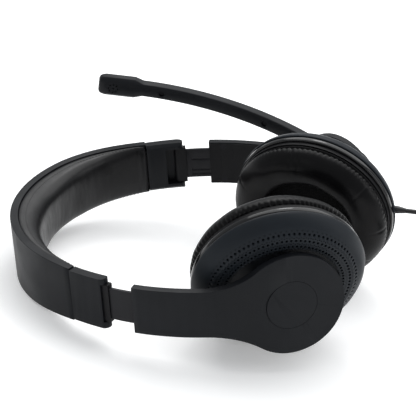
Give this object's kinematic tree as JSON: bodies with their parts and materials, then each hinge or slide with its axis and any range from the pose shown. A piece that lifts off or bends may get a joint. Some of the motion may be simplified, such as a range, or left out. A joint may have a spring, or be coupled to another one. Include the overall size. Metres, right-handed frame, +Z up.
{
  "type": "office headset",
  "caption": "Over-ear office headset lying on its side: folding headband on sliding arms, gimballed round ear cups, a swinging microphone boom, and a corded plug.",
  "frame": {"origin": "on the surface the headset lies on, under the middle of its bounding box without the cord", "axes": "+X from the crown of the headband to the ear cups, +Y towards the wearer's left, +Z up, which is roughly the wearer's front"},
  "size_m": [0.2843, 0.1835, 0.0821],
  "materials": {
    "soft_plastic": "soft-touch charcoal moulding, fine grain",
    "black_plastic": "black moulding",
    "strip_plastic": "smooth dark grey moulding",
    "spring_steel": "spring steel strip",
    "bright_steel": "turned steel",
    "dark_steel": "blackened screws",
    "leatherette": "black leatherette over foam, satin",
    "cup_plastic": "blue-grey charcoal moulding, fine grain",
    "gloss_black": "polished black trim",
    "driver_frame": "grey moulding",
    "magnet": "plated magnet cup",
    "diaphragm": "translucent film",
    "scrim_cloth": "black open-weave cloth",
    "circuit_board": "green board",
    "capsule_can": "microphone capsule can",
    "wire_insulation": "insulated wire",
    "cord_rubber": "satin black jacket",
    "plug_contact": "gold-plated contacts"
  },
  "bodies": {
    "headband": {"headband_shell": "soft_plastic", "headband_spring": "spring_steel", "headband_pad_plate": "black_plastic", "headband_pad": "leatherette", "band_wire": "wire_insulation", "spring_rivets": "bright_steel", "hinge_housing_right": "soft_plastic", "hinge_housing_left": "soft_plastic", "hinge_pin_right": "bright_steel", "hinge_pin_left": "bright_steel"},
    "knuckle_right": {"knuckle_right": "black_plastic", "slider_strip_right": "strip_plastic"},
    "arm_right": {"arm_cover_right": "soft_plastic", "arm_inner_right": "black_plastic", "arm_screws_right": "dark_steel", "slider_stop_right": "bright_steel", "pivot_cap_right": "soft_plastic"},
    "swivel_right": {"swivel_cross_right": "bright_steel"},
    "cup_right": {"cup_shell_right": "cup_plastic", "trim_ring_right": "gloss_black", "baffle_right": "black_plastic", "driver_frame_right": "driver_frame", "driver_magnet_right": "magnet", "diaphragm_right": "diaphragm", "scrim_right": "scrim_cloth", "ear_pad_right": "leatherette", "cup_screws_right": "bright_steel"},
    "knuckle_left": {"knuckle_left": "black_plastic", "slider_strip_left": "strip_plastic"},
    "arm_left": {"arm_cover_left": "soft_plastic", "arm_inner_left": "black_plastic", "arm_screws_left": "dark_steel", "slider_stop_left": "bright_steel"},
    "swivel_left": {"swivel_cross_left": "bright_steel"},
    "cup_left": {"cup_shell_left": "cup_plastic", "trim_ring_left": "gloss_black", "baffle_left": "black_plastic", "driver_frame_left": "driver_frame", "driver_magnet_left": "magnet", "diaphragm_left": "diaphragm", "scrim_left": "scrim_cloth", "ear_pad_left": "leatherette", "cup_screws_left": "bright_steel", "circuit_board": "circuit_board", "strain_relief": "cord_rubber", "cord_run": "cord_rubber", "cord_tail": "cord_rubber", "cord_coil": "cord_rubber", "cord_tie": "cord_rubber", "plug_grip": "cord_rubber", "plug_pin": "plug_contact"},
    "boom": {"boom_pivot": "bright_steel", "boom_outer": "soft_plastic", "boom_inner": "soft_plastic", "boom_screws": "dark_steel", "mic_capsule": "capsule_can"}
  },
  "joints": [
    {"name": "fold_right", "type": "hinge", "parent": "headband", "child": "knuckle_right", "pos_m": [-0.02601, -0.08272, 0.02123], "axis": [-0.164, -0.0873, 0.9826], "range_deg": [0, 12]},
    {"name": "size_slide_right", "type": "hinge", "parent": "knuckle_right", "child": "arm_right", "pos_m": [0.00416, 0.01788, 0.0352], "axis": [0.164, 0.0873, -0.9826], "range_deg": [-10.5, 4.9]},
    {"name": "cup_swivel_right", "type": "hinge", "parent": "arm_right", "child": "swivel_right", "pos_m": [0.05465, -0.06437, 0.03632], "axis": [-0.164, -0.0873, 0.9826], "range_deg": [-8, 6.5]},
    {"name": "cup_tilt_right", "type": "hinge", "parent": "swivel_right", "child": "cup_right", "pos_m": [0.05465, -0.06437, 0.03632], "axis": [0.8988, 0.3972, 0.1853], "range_deg": [-37, 1]},
    {"name": "fold_left", "type": "hinge", "parent": "headband", "child": "knuckle_left", "pos_m": [-0.02806, 0.05963, 0.03354], "axis": [-0.164, -0.0873, 0.9826], "range_deg": [-12, 0]},
    {"name": "size_slide_left", "type": "hinge", "parent": "knuckle_left", "child": "arm_left", "pos_m": [0.00501, -0.04097, 0.03011], "axis": [0.164, 0.0873, -0.9826], "range_deg": [-4.9, 10.5]},
    {"name": "cup_swivel_left", "type": "hinge", "parent": "arm_left", "child": "swivel_left", "pos_m": [0.05312, 0.04129, 0.04545], "axis": [0.164, 0.0873, -0.9826], "range_deg": [0, 20.5]},
    {"name": "cup_tilt_left", "type": "hinge", "parent": "swivel_left", "child": "cup_left", "pos_m": [0.05312, 0.04129, 0.04545], "axis": [0.9752, -0.1644, 0.1481], "range_deg": [-23.2, 0.4]},
    {"name": "boom_swing", "type": "hinge", "parent": "arm_left", "child": "boom", "pos_m": [0.05913, 0.05207, 0.04741], "axis": [0.4807, 0.8627, 0.1569], "range_deg": [-15, 155]}
  ]
}
